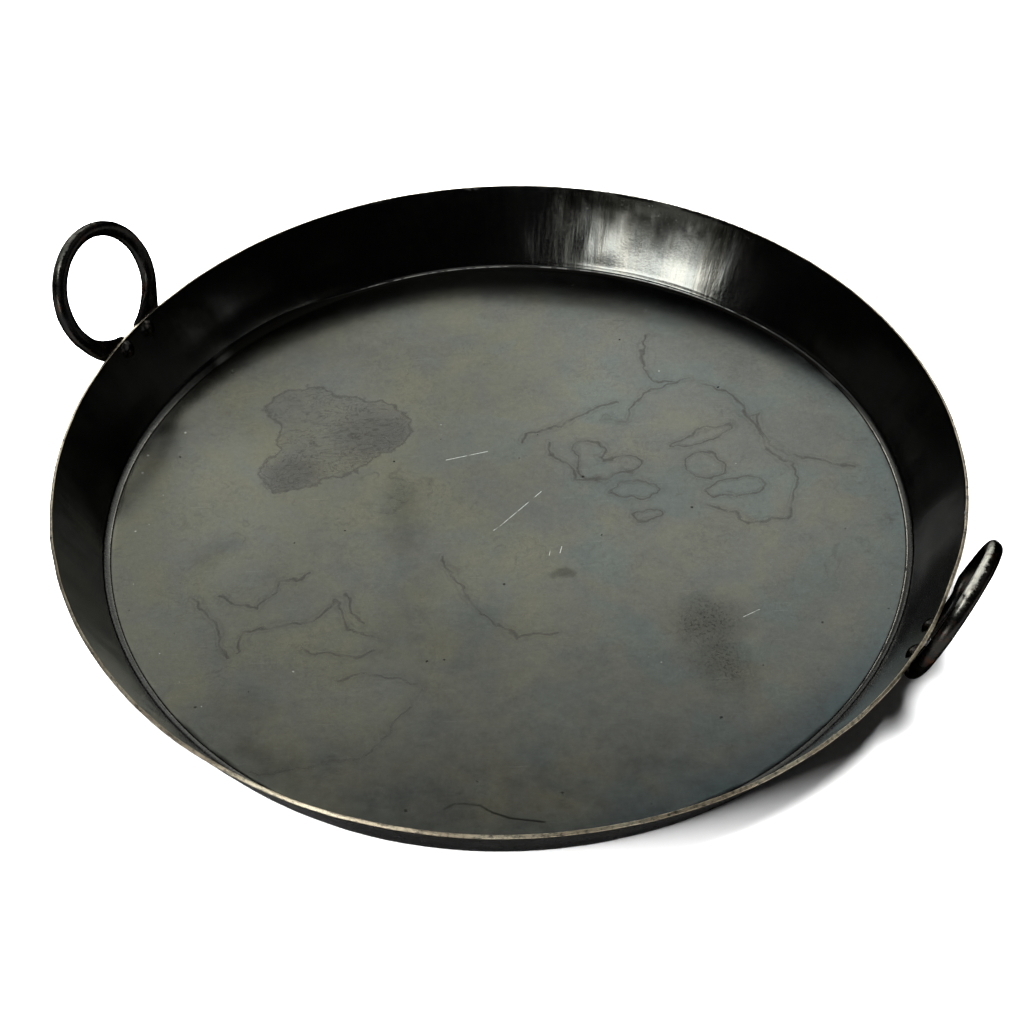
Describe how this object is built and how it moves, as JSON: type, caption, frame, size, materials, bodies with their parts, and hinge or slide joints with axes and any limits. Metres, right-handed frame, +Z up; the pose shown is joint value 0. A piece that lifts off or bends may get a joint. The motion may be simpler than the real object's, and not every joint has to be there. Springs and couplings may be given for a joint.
{
  "type": "two-handled steel pan",
  "caption": "Large shallow round steel pan with a flat floor, flared wall and two upright ring handles riveted to the outside of the wall.",
  "frame": {"origin": "centre of the flat underside, on the plane the pan stands on", "axes": "+Z up out of the pan, +X towards the right ring handle, and the left ring handle lies along -X"},
  "size_m": [0.5582, 0.5, 0.1099],
  "materials": {
    "blued_sheet": "satin",
    "forged_bar": "satin",
    "rivet_steel": "satin"
  },
  "bodies": {
    "root": {"pan_body": "blued_sheet", "right_ring_handle": "forged_bar", "left_ring_handle": "forged_bar", "right_front_rivet": "rivet_steel", "right_rear_rivet": "rivet_steel", "left_front_rivet": "rivet_steel", "left_rear_rivet": "rivet_steel"}
  },
  "joints": []
}
